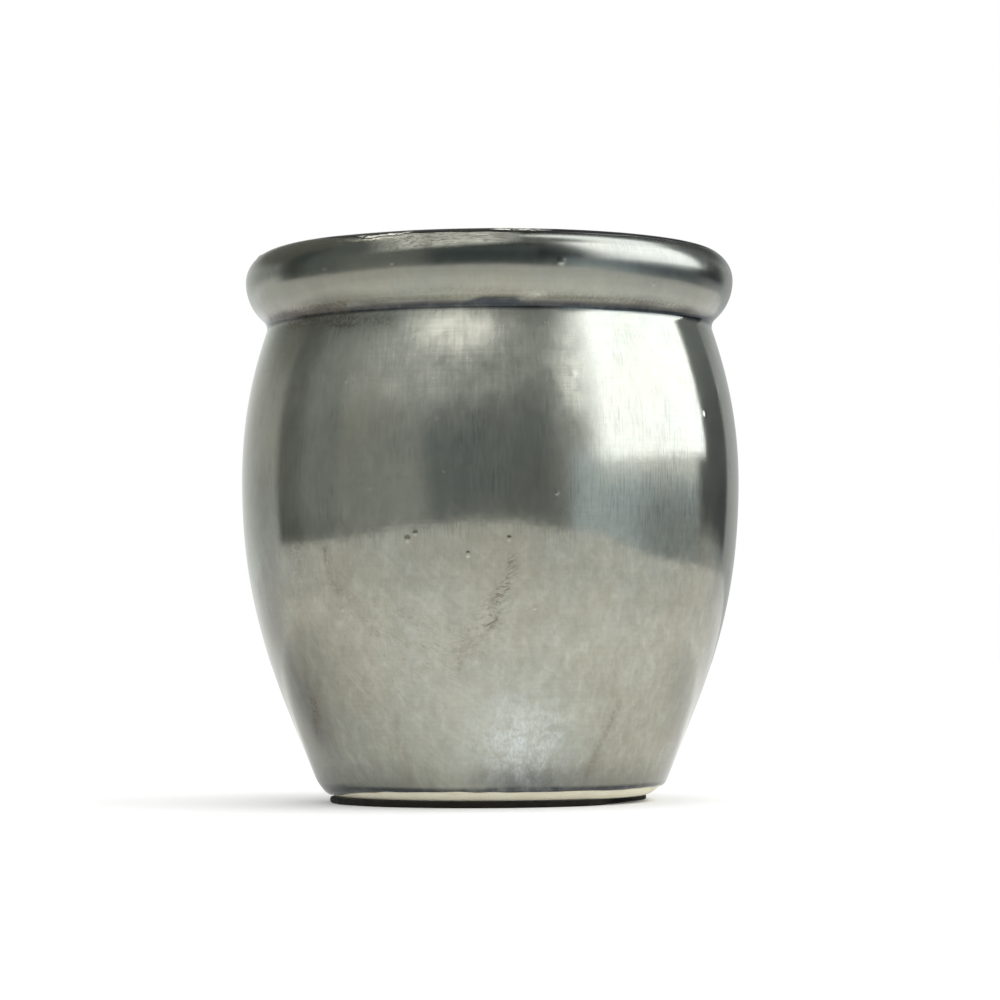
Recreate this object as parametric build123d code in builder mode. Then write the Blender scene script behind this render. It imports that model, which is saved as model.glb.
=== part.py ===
from build123d import *
import os
from math import asin, cos, degrees, radians, sin, tan

# A small wheel-thrown pot of pale clay: a barrel belly on a narrow foot, and a
# thick rolled collar luted on above a sharp crease. A dark metallic glaze covers
# the outside down to a glaze line just above the foot, a black liner glaze covers
# the inside and laps over the crest of the collar, and a felt pad is stuck under
# the flat base with a film of adhesive.
#
# Frame: +Z is the pot's axis, the origin is on it at the level of the surface that
# the pot stands on, and -X is left. Sizes are in millimetres, angles in degrees.

# Felt pad and its adhesive film
pad_radius = 33.6
pad_thickness = 1.2
pad_edge_round = 0.2
pad_shift = -0.5  # the pad is stuck on a little to the left of the pot's axis
film_radius = 32.6
film_thickness = 0.15

# Outside of the clay, under the glaze
base_z = pad_thickness + film_thickness
base_radius = 32.6
foot_top_z = 5.5  # the rounded foot ends and the straight lower wall begins
wall_lean = 22.3  # the lower wall's lean from upright
belly_radius = 51.9
belly_z = 66.7
lower_belly_arc = 123.8
upper_belly_arc = 99.6
neck_z = 100.5  # the crease, and the joint between wall and collar
collar_radius = 51.0
collar_z = 109.1  # the collar's widest level

# Inside of the clay
wall_thickness = 4.8
floor_thickness = 6.0
floor_round = 10.0

# Glaze
coat_thickness = 0.4
crease_round = 2.6  # the outer glaze pools in the crease
glaze_line_z = 3.0
lip_seam_angle = 65.0  # where the coats meet, round the collar from its widest level

# Points of the section, as (radius, height)
lean = radians(wall_lean)
neck_rise = neck_z - belly_z
collar_rise = collar_z - neck_z

lower_arc_centre = (belly_radius - lower_belly_arc, belly_z)
upper_arc_centre = (belly_radius - upper_belly_arc, belly_z)
neck_angle = asin(neck_rise / upper_belly_arc)
neck = (upper_arc_centre[0] + upper_belly_arc * cos(neck_angle), neck_z)
wall_top = (
    lower_arc_centre[0] + lower_belly_arc * cos(lean),
    belly_z - lower_belly_arc * sin(lean),
)
foot_top = (wall_top[0] - (wall_top[1] - foot_top_z) * tan(lean), foot_top_z)

lower_inner_arc = lower_belly_arc - wall_thickness
upper_inner_arc = upper_belly_arc - wall_thickness
floor_z = base_z + floor_thickness
inner_neck_angle = asin(neck_rise / upper_inner_arc)
inner_neck = (upper_arc_centre[0] + upper_inner_arc * cos(inner_neck_angle), neck_z)
inner_wall_top = (
    lower_arc_centre[0] + lower_inner_arc * cos(lean),
    belly_z - lower_inner_arc * sin(lean),
)
inner_corner = (inner_wall_top[0] - (inner_wall_top[1] - floor_z) * tan(lean), floor_z)

# The collar's inside runs on from the belly's inside without a corner.
inner_collar_arc = collar_rise / sin(inner_neck_angle)
mouth_radius = inner_neck[0] - inner_collar_arc * (1 - cos(inner_neck_angle))
roll_radius = (collar_radius - mouth_radius) / 2
roll_centre = (collar_radius - roll_radius, collar_z)


def outer_wall():
    """The outside of the wall, from the edge of the base up to the neck."""
    TangentArc(foot_top, (base_radius, base_z), tangent=(-sin(lean), -cos(lean)))
    Line(foot_top, wall_top)
    CenterArc(lower_arc_centre, lower_belly_arc, -wall_lean, wall_lean)
    CenterArc(upper_arc_centre, upper_belly_arc, 0, degrees(neck_angle))


def outer_collar():
    """The outside of the collar, from the neck up to its widest level."""
    TangentArc((collar_radius, collar_z), neck, tangent=(0, -1))


def roll(start_angle, end_angle):
    """A stretch of the collar's rounded top, as angles from its widest level."""
    CenterArc(roll_centre, roll_radius, start_angle, end_angle - start_angle)


def inner_collar():
    """The inside of the collar, from the mouth down to the neck."""
    TangentArc((mouth_radius, collar_z), inner_neck, tangent=(0, -1))


def inner_wall():
    """The inside of the wall and the floor, from the neck to the axis."""
    CenterArc(upper_arc_centre, upper_inner_arc, 0, degrees(inner_neck_angle))
    CenterArc(lower_arc_centre, lower_inner_arc, -wall_lean, wall_lean)
    FilletPolyline((0, floor_z), inner_corner, inner_wall_top, radius=floor_round)


with BuildPart() as felt_pad:
    with BuildSketch():
        with Locations((pad_shift, 0)):
            Circle(pad_radius)
    extrude(amount=pad_thickness)
    fillet(felt_pad.edges().filter_by(GeomType.CIRCLE), pad_edge_round)
felt_pad.part.label = "felt_pad"

with BuildPart() as adhesive_film:
    with BuildSketch(Plane.XY.offset(pad_thickness)):
        with Locations((pad_shift, 0)):
            Circle(film_radius)
    extrude(amount=film_thickness)
adhesive_film.part.label = "adhesive_film"

with BuildPart() as clay_vessel:
    with BuildSketch(Plane.XZ):
        with BuildLine():
            outer_wall()
            Line(neck, inner_neck)
            inner_wall()
            Polyline((0, floor_z), (0, base_z), (base_radius, base_z))
        make_face()
    revolve(axis=Axis.Z)
clay_vessel.part.label = "clay_vessel"

with BuildPart() as rolled_collar:
    with BuildSketch(Plane.XZ):
        with BuildLine():
            outer_collar()
            roll(0, 180)
            inner_collar()
            Line(inner_neck, neck)
        make_face()
    revolve(axis=Axis.Z)
rolled_collar.part.label = "rolled_collar"

with BuildPart() as outer_glaze:
    with BuildSketch(Plane.XZ):
        with BuildLine():
            outer_wall()
            outer_collar()
            roll(0, lip_seam_angle)
            offset(amount=coat_thickness, side=Side.LEFT)
        outline = make_face()
        glazed_crease = outline.vertices().sort_by_distance(neck)[1]
        fillet(glazed_crease, crease_round)
    revolve(axis=Axis.Z)
    split(bisect_by=Plane.XY.offset(glaze_line_z), keep=Keep.TOP)
outer_glaze.part.label = "outer_glaze"

with BuildPart() as liner_glaze:
    with BuildSketch(Plane.XZ):
        with BuildLine():
            roll(lip_seam_angle, 180)
            inner_collar()
            inner_wall()
            offset(amount=coat_thickness, side=Side.RIGHT)
        make_face()
    revolve(axis=Axis.Z)
liner_glaze.part.label = "liner_glaze"

os.makedirs("parts", exist_ok=True)
pieces = [felt_pad, adhesive_film, clay_vessel, rolled_collar, outer_glaze, liner_glaze]
for piece in pieces:
    export_step(piece.part, f"parts/{piece.part.label}.step")
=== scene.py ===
from math import asin, atan2, cos, degrees, hypot, pi, radians, sin, tan

import bmesh
import bpy
import numpy as np
from mathutils import Matrix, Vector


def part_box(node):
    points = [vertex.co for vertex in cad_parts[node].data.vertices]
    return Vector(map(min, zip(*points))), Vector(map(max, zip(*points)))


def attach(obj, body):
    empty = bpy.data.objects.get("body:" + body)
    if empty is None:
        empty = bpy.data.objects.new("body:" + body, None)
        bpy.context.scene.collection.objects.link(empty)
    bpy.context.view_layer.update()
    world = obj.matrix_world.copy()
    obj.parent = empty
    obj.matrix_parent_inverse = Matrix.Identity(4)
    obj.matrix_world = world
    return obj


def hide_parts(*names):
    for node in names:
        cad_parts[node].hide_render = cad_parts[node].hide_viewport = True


# A small glazed pot: dark metallic glaze outside, black liner glaze inside, bare
# clay at the foot and a felt pad under it. Sections are in millimetres and become
# metres in the meshes. Azimuths are in degrees round the pot's axis: 0 faces the
# camera (-Y) and 90 is the right-hand side (+X).

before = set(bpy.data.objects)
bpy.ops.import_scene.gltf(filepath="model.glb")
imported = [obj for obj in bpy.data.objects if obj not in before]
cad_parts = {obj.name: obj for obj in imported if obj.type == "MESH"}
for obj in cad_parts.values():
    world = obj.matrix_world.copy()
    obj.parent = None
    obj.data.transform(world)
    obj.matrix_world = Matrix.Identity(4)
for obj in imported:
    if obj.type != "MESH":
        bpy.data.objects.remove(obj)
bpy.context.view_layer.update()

MM = 0.001


# ---- sizes, in mm

def corner(node, which, axis):
    """One coordinate of a CAD node's box: which is 0 for its lowest corner, 1 for its highest."""
    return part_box(node)[which][axis] / MM


X, Z = 0, 2
belly_radius = corner("clay_vessel", 1, X)
base_z = corner("clay_vessel", 0, Z)
neck_z = corner("clay_vessel", 1, Z)
collar_radius = corner("rolled_collar", 1, X)
coat = corner("outer_glaze", 1, X) - belly_radius
glaze_line_z = corner("outer_glaze", 0, Z)
floor_z = corner("liner_glaze", 0, Z)
pad_top_z = corner("felt_pad", 1, Z)
pad_radius = (corner("felt_pad", 1, X) - corner("felt_pad", 0, X)) / 2
pad_middle_x = (corner("felt_pad", 1, X) + corner("felt_pad", 0, X)) / 2

# The rest of the section, as the CAD part draws it
base_radius = 32.6
foot_top_z = 5.5
lean = radians(22.3)
belly_z = 66.7
lower_belly_arc = 123.8
upper_belly_arc = 99.6
collar_z = 109.1
wall_thickness = 4.8
floor_round = 10.0
crease_round = 2.6

lower_centre = (belly_radius - lower_belly_arc, belly_z)
upper_centre = (belly_radius - upper_belly_arc, belly_z)
neck_rise = neck_z - belly_z
collar_rise = collar_z - neck_z
neck_x = upper_centre[0] + upper_belly_arc * cos(asin(neck_rise / upper_belly_arc))
inner_neck_angle = asin(neck_rise / (upper_belly_arc - wall_thickness))
inner_neck_x = upper_centre[0] + (upper_belly_arc - wall_thickness) * cos(inner_neck_angle)
inner_collar_arc = collar_rise / sin(inner_neck_angle)
mouth_radius = inner_neck_x - inner_collar_arc * (1 - cos(inner_neck_angle))
under_arc = (collar_rise**2 + (collar_radius - neck_x) ** 2) / (2 * (collar_radius - neck_x))
under_centre = (collar_radius - under_arc, collar_z)
roll_radius = (collar_radius - mouth_radius) / 2
roll_centre = (collar_radius - roll_radius, collar_z)


# ---- sections and surfaces

SAMPLE = 0.05  # spacing of the points along a section


def arc(centre, radius, start, end):
    """Points along an arc in the (radius, height) plane; the angles are in radians."""
    count = max(3, int(abs(end - start) * radius / SAMPLE))
    turn = np.linspace(start, end, count)
    return np.column_stack((centre[0] + radius * np.cos(turn), centre[1] + radius * np.sin(turn)))


class Section:
    """A line in the (radius, height) plane that is read by the length along it. Its
    right-hand side, as it runs, is the air."""

    def __init__(self, *stretches):
        points = np.vstack(stretches)
        steps = np.hypot(*np.diff(points, axis=0).T)
        self.points = points[np.r_[True, steps > 1e-6]]
        self.along = np.r_[0, np.cumsum(np.hypot(*np.diff(self.points, axis=0).T))]
        self.length = self.along[-1]
        tangent = np.gradient(self.points, self.along, axis=0)
        tangent /= np.linalg.norm(tangent, axis=1)[:, None]
        self.normals = np.column_stack((tangent[:, 1], -tangent[:, 0]))

    def at(self, along):
        """Radius, height and the two parts of the normal."""
        columns = (*self.points.T, *self.normals.T)
        return [np.interp(along, self.along, column) for column in columns]

    def rise(self, z):
        """The length along a section that climbs, at a height."""
        return np.interp(z, self.points[:, 1], self.along)


def outer_section(offset, roll_to):
    """The outside of the pot, offset outwards, from the base up to an angle on the roll."""
    out = np.array((cos(lean), -sin(lean)))
    wall_top = np.array(lower_centre) + lower_belly_arc * out
    foot_top = wall_top - (wall_top[1] - foot_top_z) / cos(lean) * np.array((sin(lean), cos(lean)))
    chord = np.array((base_radius, base_z)) - foot_top
    foot_arc = (chord @ chord) / (2 * abs(chord @ out))
    foot_centre = foot_top - foot_arc * out
    toe = atan2(base_z - foot_centre[1], base_radius - foot_centre[0])
    stretches = [
        arc(foot_centre, foot_arc + offset, toe, -lean),
        arc(lower_centre, lower_belly_arc + offset, -lean, 0),
    ]
    if offset:
        # The glaze pools in the crease in an arc that touches the wall and the collar.
        reach = upper_belly_arc + offset + crease_round
        other = under_arc + offset + crease_round
        between = np.array(under_centre) - np.array(upper_centre)
        gap = hypot(*between)
        share = (reach**2 - other**2 + gap**2) / (2 * gap)
        side = np.array((between[1], -between[0])) / gap
        middle = np.array(upper_centre) + between / gap * share
        pool = middle + side * (reach**2 - share**2) ** 0.5
        wall_end = atan2(pool[1] - upper_centre[1], pool[0] - upper_centre[0])
        collar_start = atan2(pool[1] - under_centre[1], pool[0] - under_centre[0])
        stretches += [
            arc(upper_centre, upper_belly_arc + offset, 0, wall_end),
            arc(pool, crease_round, pi + wall_end, pi + collar_start),
        ]
    else:
        collar_start = atan2(neck_z - collar_z, neck_x - under_centre[0])
        stretches.append(arc(upper_centre, upper_belly_arc, 0, asin(neck_rise / upper_belly_arc)))
    stretches.append(arc(under_centre, under_arc + offset, collar_start, 0))
    stretches.append(arc(roll_centre, roll_radius + offset, 0, radians(roll_to)))
    return Section(*stretches)


def inner_section(offset, roll_from):
    """The inside of the pot, offset into the air, from an angle on the roll to the axis."""
    inner_upper = upper_belly_arc - wall_thickness
    inner_lower = lower_belly_arc - wall_thickness
    wall_foot_x = lower_centre[0] + inner_lower * cos(lean)
    wall_foot_z = belly_z - inner_lower * sin(lean)
    corner_x = wall_foot_x - (wall_foot_z - floor_z) * tan(lean)
    round_x = corner_x - floor_round * tan((pi / 2 - lean) / 2)
    return Section(
        arc(roll_centre, roll_radius + offset, radians(roll_from), pi),
        arc(
            (mouth_radius + inner_collar_arc, collar_z),
            inner_collar_arc + offset,
            pi,
            pi + inner_neck_angle,
        ),
        arc(upper_centre, inner_upper - offset, inner_neck_angle, 0),
        arc(lower_centre, inner_lower - offset, 0, -lean),
        arc((round_x, floor_z + floor_round), floor_round - offset, -lean, -pi / 2),
        np.column_stack((np.linspace(round_x, 0, 60), np.full(60, floor_z + offset))),
    )


def waves(azimuth, amplitude, slowest, fastest, seed):
    """A smooth wavy line round the pot, about as high as amplitude; azimuth in degrees."""
    draw = np.random.default_rng(seed)
    total = 0 * azimuth
    for count in range(slowest, fastest + 1):
        height, phase = draw.normal(), draw.uniform(0, 2 * pi)
        total = total + height * np.cos(count * np.radians(azimuth) + phase)
    return amplitude * total / (fastest - slowest + 1) ** 0.5


def smooth(value, low, high):
    """0 below low, 1 above high and a smooth step between; low may be the larger."""
    share = np.clip((value - low) / (high - low), 0, 1)
    return share * share * (3 - 2 * share)


def turn_to(azimuth, target):
    """The signed turn from target to azimuth, in degrees, from -180 to 180."""
    return (azimuth - target + 180) % 360 - 180


def place(azimuth, radius, height):
    """Points in metres from azimuths in degrees and a radius and a height in mm."""
    turn = np.radians(azimuth)
    return np.stack((radius * np.sin(turn), -radius * np.cos(turn), height + 0 * turn), -1) * MM


def all_round(count):
    """Evenly spaced azimuths, from the back."""
    return np.arange(count) * 360 / count - 180


def spacing(*stretches):
    """Stations along a section: (from, to, step) for each stretch, joined."""
    parts = [np.linspace(a, b, max(2, int(round((b - a) / step)) + 1)) for a, b, step in stretches]
    return np.unique(np.concatenate(parts).round(6))


def grid_faces(rows, around, first=0, flip=False):
    """Quads between rows of vertices that each go once round."""
    row, col = np.meshgrid(np.arange(rows - 1), np.arange(around), indexing="ij")
    beside = (col + 1) % around
    low, high = row * around, (row + 1) * around
    quads = np.stack((low + col, low + beside, high + beside, high + col), -1).reshape(-1, 4)
    return (first + (quads[:, ::-1] if flip else quads)).tolist()


def strip(first, second, around):
    """Quads that join two rings of vertices, given the index at which each ring starts."""
    pairs = [(col, (col + 1) % around) for col in range(around)]
    return [[first + b, first + a, second + a, second + b] for a, b in pairs]


def fan(ring, pole, around, flip=False):
    """Triangles that close a ring of vertices with one vertex in its middle."""
    faces = [[ring + col, ring + (col + 1) % around, pole] for col in range(around)]
    return [[second, first, top] for first, second, top in faces] if flip else faces


def capped(points, around, low_pole, high_pole):
    """Points and faces of a solid whose rows of points end in a pole below and above."""
    rows = len(points) // around
    faces = grid_faces(rows, around) + fan(0, len(points), around, flip=True)
    faces += fan((rows - 1) * around, len(points) + 1, around)
    return np.vstack((points, low_pole, high_pole)), faces


def make_piece(name, points, faces, material, replaced):
    """A smooth mesh piece that stands for a CAD node."""
    mesh = bpy.data.meshes.new(name)
    mesh.from_pydata(np.asarray(points).tolist(), [], [list(map(int, face)) for face in faces])
    mesh.validate()
    mesh.shade_smooth()
    piece = bpy.data.objects.new(name, mesh)
    bpy.context.scene.collection.objects.link(piece)
    mesh.materials.append(material)
    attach(piece, "root")
    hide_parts(replaced)
    return piece


def set_mask(piece, name, values):
    """A number for each vertex that the material reads."""
    layer = piece.data.attributes.new(name, "FLOAT", "POINT")
    layer.data.foreach_set("value", np.asarray(values, np.float32))


# ---- marks on the outer glaze

# Blisters in the glaze: azimuth, height, radius, height of the bump, in degrees and mm
BLISTERS = [
    (19, 86, 0.75, 0.07),
    (-34.5, 85.5, 0.5, 0.06),
    (-11.5, 77.5, 0.45, 0.05),
    (-10, 67, 0.45, 0.06),
    (-27, 64, 0.4, 0.04),
    (-18.5, 53.5, 0.6, 0.075),
    (-16.7, 54.7, 0.42, 0.055),
    (4, 53.5, 0.5, 0.05),
    (-5, 50.5, 0.6, 0.085),
    (-37, 40, 0.42, 0.09),
    (10, 40, 0.45, 0.06),
    (14.5, 62.5, 0.45, 0.06),
    (67, 85, 0.7, 0.16),
    (58, 79.5, 0.5, 0.10),
    (16.2, 108.4, 0.8, 0.12),
    (-77, 113, 0.6, 0.14),
    (-60, 109.5, 0.35, 0.06),
    (-40, 108.5, 0.55, 0.06),
    (-22, 108.5, 0.5, 0.05),
    (41, 104.8, 0.4, 0.05),
]
HIDDEN_BLISTERS = 22
for extra in range(HIDDEN_BLISTERS):
    draw = np.random.default_rng(900 + extra)
    BLISTERS.append((draw.uniform(95, 265), draw.uniform(14, 92), draw.uniform(0.35, 0.65), 0.13))


def stroke(azimuth, height, points, width):
    """1 along a line through points (azimuth, height) on the wall, fading over width mm."""
    across = np.radians(turn_to(azimuth, points[0][0])) * belly_radius
    nearest = np.full(np.shape(across), 1e9)
    ends = [(radians(turn_to(a, points[0][0])) * belly_radius, z) for a, z in points]
    for (x0, z0), (x1, z1) in zip(ends, ends[1:]):
        length = max((x1 - x0) ** 2 + (z1 - z0) ** 2, 1e-9)
        share = np.clip(((across - x0) * (x1 - x0) + (height - z0) * (z1 - z0)) / length, 0, 1)
        gap = np.hypot(across - x0 - share * (x1 - x0), height - z0 - share * (z1 - z0))
        nearest = np.minimum(nearest, gap)
    return np.exp(-((nearest / width) ** 2))


def patch(azimuth, height, centre, wide, high):
    """1 in the middle of a patch, fading out over wide degrees and high mm."""
    return np.exp(-((turn_to(azimuth, centre[0]) / wide) ** 2) - ((height - centre[1]) / high) ** 2)


# ---- outer glaze

# Angles on the roll and azimuths, in degrees
ROLL_TOP = 95
GLAZE_ENDS = 66  # where the outer glaze's last row lies on the roll before it is moved
LINER_STARTS = 62  # the same for the liner's first row
SEAM_ANGLE = 55.5
SEAM_RISE = 25  # how much higher the seam lies on the left
SEAM_OVERLAP = 3  # how far the outer glaze goes on under the liner
# Where the liner's glaze ran down from the seam: azimuth, run and width
RUNS = ((-29, 7, 3.0), (-22, 4, 1.8), (3, 2.5, 2.6), (9, 2.0, 1.6), (150, 6, 4))


def seam_angle(azimuth):
    """Where the liner's edge lies on the roll, in degrees up from the collar's side."""
    left = smooth(turn_to(azimuth, -44), 12, -12) * smooth(turn_to(azimuth, -44), -110, -60)
    runs = 0
    for centre, drop, width in RUNS:
        runs = runs + drop * np.exp(-((turn_to(azimuth, centre) / width) ** 2))
    wander = waves(azimuth, 0.9, 2, 9, 31) + waves(azimuth, 0.7, 14, 40, 32)
    return SEAM_ANGLE + SEAM_RISE * left + wander - runs


def glaze_edge(azimuth):
    """The height of the outer glaze's lower edge."""
    left = smooth(turn_to(azimuth, -60), 26, -8) * smooth(turn_to(azimuth, -60), -120, -60)
    wander = waves(azimuth, 0.12, 3, 12, 41) + waves(azimuth, 0.05, 15, 40, 42)
    return glaze_line_z + 0.1 - 1.25 * left + wander


glazed = outer_section(coat, ROLL_TOP)
edge_nominal = glazed.rise(glaze_line_z)
crease_along = glazed.rise(neck_z)
roll_start = glazed.length - radians(ROLL_TOP) * (roll_radius + coat)
seam_nominal = roll_start + radians(GLAZE_ENDS) * (roll_radius + coat)
EDGE_FADE = 8.0  # how far from the glaze's edges the rows are moved, in mm


def glaze_station(azimuth, station):
    """The station along the section, moved so that the first and last rows follow the
    glaze line and the seam, and the crease wavers a little."""
    edge = glazed.rise(glaze_edge(azimuth))
    seam = roll_start + np.radians(seam_angle(azimuth) + SEAM_OVERLAP) * (roll_radius + coat)
    near_edge = smooth(station, edge_nominal + EDGE_FADE, edge_nominal)
    station = station + (edge - edge_nominal) * near_edge
    near_seam = smooth(station, seam_nominal - EDGE_FADE, seam_nominal)
    station = station + (seam - seam_nominal) * near_seam
    waver = waves(azimuth, 0.16, 2, 7, 51) + waves(azimuth, 0.06, 9, 26, 52)
    return station + waver * np.exp(-(((station - crease_along) / 3.5) ** 2))


def glaze_relief(azimuth, station):
    """How far the glaze's surface stands off its even thickness, in mm."""
    relief = 0.05 * np.sin(2 * pi * station / 38 + 0.5 * np.sin(np.radians(azimuth)))
    relief = relief + waves(azimuth, 0.03, 2, 5, 61) * np.sin(station / 17)
    relief = relief + waves(azimuth, 0.018, 6, 15, 62) * np.cos(station / 7 + 1)
    edge = glazed.rise(glaze_edge(azimuth))
    from_edge = np.maximum(station - edge, 0)
    rounded = np.sqrt(1 - (1 - np.clip(from_edge / 0.35, 0, 1)) ** 2)
    relief = relief * smooth(from_edge, 0, 4) + 0.1 * np.exp(-(((from_edge - 0.9) / 0.7) ** 2))
    seam = roll_start + np.radians(seam_angle(azimuth)) * (roll_radius + coat)
    under_liner = smooth(station, seam, seam + 0.3)
    return (coat + relief) * (0.04 + 0.96 * rounded) * (1 - 0.9 * under_liner) - coat


SWELLING_FALL = 1.6  # how steeply a blister falls away from its middle
PINHOLE_WIDTH = 0.34  # of the blister's radius
PINHOLE_DEPTH = 0.45  # of its height


def blister_relief(azimuth, station):
    """The blisters, each a small swelling with a pinhole burst through its top."""
    relief = np.zeros(np.shape(azimuth))
    for centre, height, radius, bump in BLISTERS:
        middle = glazed.rise(height)
        at_radius = glazed.at(middle)[0]
        gap = np.hypot(np.radians(turn_to(azimuth, centre)) * at_radius, station - middle) / radius
        swelling = bump * np.exp(-(gap**2) * SWELLING_FALL)
        relief += swelling - PINHOLE_DEPTH * bump * np.exp(-((gap / PINHOLE_WIDTH) ** 2))
    return relief


def painted_blister_glint(azimuth, station):
    """A painted highlight: a pale glint on the lower lip of each blister."""
    total = np.zeros(np.shape(azimuth))
    for centre, height, radius, _ in BLISTERS:
        middle = glazed.rise(height)
        across = np.radians(turn_to(azimuth, centre)) * glazed.at(middle)[0] / radius
        along = (station - middle) / radius
        total += np.exp(-((across / 0.55) ** 2) - ((along + 0.8) / 0.38) ** 2)
    return np.clip(total, 0, 1)


def outer_glaze_surface(azimuth, station):
    """Points of the outer glaze's face."""
    moved = glaze_station(azimuth, station)
    radius, height, out, up = glazed.at(moved)
    relief = glaze_relief(azimuth, moved) + blister_relief(azimuth, station)
    return place(azimuth, radius + relief * out, height + relief * up)


CLAY_GAP = 0.01  # between the clay and the outer glaze's back, in mm
BLISTER_REACH = 1.5  # how far out a blister's faces are cut finer, in radii
BLISTER_CUTS = 3


def build_outer_glaze(material):
    """A closed shell: a fine face with the blisters cut in, and a plainer back on the clay."""
    around = 360
    step = 360 / around
    stations = spacing(
        (edge_nominal, edge_nominal + 2, 0.16),
        (edge_nominal + 2, crease_along - 5, 0.9),
        (crease_along - 5, crease_along + 5, 0.4),
        (crease_along + 5, roll_start, 0.6),
        (roll_start, seam_nominal, 0.4),
    )
    azimuth, station = np.meshgrid(all_round(around), stations)
    shell = bmesh.new()
    turn_layer = shell.verts.layers.float.new("turn")
    along_layer = shell.verts.layers.float.new("along")
    verts = []
    for turn, along in zip(azimuth.ravel(), station.ravel()):
        vert = shell.verts.new((0, 0, 0))
        vert[turn_layer] = turn
        vert[along_layer] = along
        verts.append(vert)
    rows = len(stations)
    for face_corners in grid_faces(rows, around):
        shell.faces.new([verts[k] for k in face_corners])
    shell.faces.ensure_lookup_table()
    fine = set()
    for centre, height, radius, _ in BLISTERS:
        middle = glazed.rise(height)
        reach = BLISTER_REACH * radius
        spread = degrees(reach / glazed.at(middle)[0])
        first = int(np.floor((turn_to(centre, 0) - spread + 180) / step))
        last = int(np.floor((turn_to(centre, 0) + spread + 180) / step))
        low = max(np.searchsorted(stations, middle - reach) - 1, 0)
        high = min(np.searchsorted(stations, middle + reach), rows - 1)
        for row in range(low, high):
            for col in range(first, last + 1):
                if 0 < col < around - 1:
                    fine.add(row * around + col)
    edges = {edge for k in fine for edge in shell.faces[k].edges}
    bmesh.ops.subdivide_edges(shell, edges=list(edges), cuts=BLISTER_CUTS, use_grid_fill=True)
    shell.verts.ensure_lookup_table()
    turns = np.array([vert[turn_layer] for vert in shell.verts])
    alongs = np.array([vert[along_layer] for vert in shell.verts])
    front = outer_glaze_surface(turns, alongs)
    shell.verts.index_update()
    faces = [[vert.index for vert in face.verts] for face in shell.faces]
    shell.free()

    back_stations = spacing(
        (edge_nominal, edge_nominal + 4, 1.0),
        (edge_nominal + 4, crease_along - 5, 4.0),
        (crease_along - 5, crease_along + 5, 0.4),
        (crease_along + 5, seam_nominal, 2.0),
    )
    back_azimuth, back_station = np.meshgrid(all_round(around), back_stations)
    moved = glaze_station(back_azimuth, back_station)
    radius, height, out, up = glazed.at(moved)
    back_off = coat - CLAY_GAP
    back = place(back_azimuth, radius - back_off * out, height - back_off * up).reshape(-1, 3)
    first_back = len(front)
    faces += grid_faces(len(back_stations), around, first_back, flip=True)
    faces += strip(0, first_back, around)
    faces += strip(first_back + (len(back_stations) - 1) * around, (rows - 1) * around, around)
    points = np.vstack((front, back))
    piece = make_piece(
        "metallic_outer_glaze", points, faces, material, "outer_glaze"
    )

    painted_glint = np.zeros(len(points))
    painted_glint[: len(front)] = painted_blister_glint(turns, alongs)
    set_mask(piece, "painted_glint", painted_glint)
    turns = np.r_[turns, back_azimuth.ravel()]
    height = points[:, 2] / MM
    masks = {"scuff": scuffs, "grime_and_crease_shade": grime_and_crease_shade, "painted_highlight_bloom": painted_highlight_bloom, "pool": painted_shade_and_pooling}
    masks |= {"scratch": scratches, "frost": frost, "combed": combed}
    for name, marks in masks.items():
        set_mask(piece, name, np.clip(marks(turns, height), 0, 1))


# The tables below hold strokes as (strength, points, width in mm) and patches as
# (strength, middle, width in degrees, height in mm); points are (azimuth, height).

SCUFFS = [
    (0.8, [(4.6, 49.5), (4.6, 46.5), (2.6, 43.5)], 0.9),
    (0.7, [(2.4, 43), (0.8, 40), (0.2, 37.5)], 1.8),
    (0.4, [(-1.5, 37.5), (-5, 34), (-8, 30)], 2.8),
    (0.35, [(-50, 52), (-51, 44)], 2.2),
]
SCRATCHES = [(1.0, (-22, 36), 15, 7), (0.7, (-6, 29), 12, 6), (0.5, (-30, 22), 22, 12)]
# Brown dirt on the lower wall. The strokes in the crease and on the collar's underside are partly
# painted shade.
GRIME_AND_SHADE_STROKES = [
    (0.95, [(-74, 100.5), (-58, 100.7), (-38, 100.9)], 1.15),
    (0.75, [(-60, 98.6), (-36, 97.6)], 1.7),
    (0.6, [(-40, 98.2), (-25, 97.5)], 1.9),
    (0.3, [(-36, 102), (-10, 103), (24, 101.8), (60, 101.6)], 0.8),
    (1.0, [(-56, 21), (-60, 16)], 2.0),
    (0.5, [(-40, 52), (-39, 45), (-33, 42)], 0.8),
    (0.45, [(36, 21), (33.5, 14), (30, 7)], 1.2),
    (0.5, [(150, 60), (156, 40), (170, 35)], 2.5),
]
# Painted highlights: pale clouds under the crease and beside the window's reflection, and pale
# patches that brighten the glaze
PAINTED_HIGHLIGHT_CLOUDS = [(0.86, (-7.5, 96), 13, 5), (0.42, (-12, 88), 24, 8.5), (0.6, (19.5, 87), 5.5, 13)]
PAINTED_PALE_PATCHES = [
    (0.14, (-6, 14), 18, 12),
    (0.35, (-150, 30), 14, 9),
    (0.7, (10.8, 101.9), 2.6, 0.55),
]
FROST = [(1.06, (8, 14), 13.5, 8), (0.5, (170, 22), 20, 9)]
COMBED = [
    (1.0, (42, 61), 24, 10),
    (0.5, (-52, 60), 12, 12),
    (0.4, (4, 70), 20, 12),
    (0.6, (-170, 75), 40, 15),
]
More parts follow.
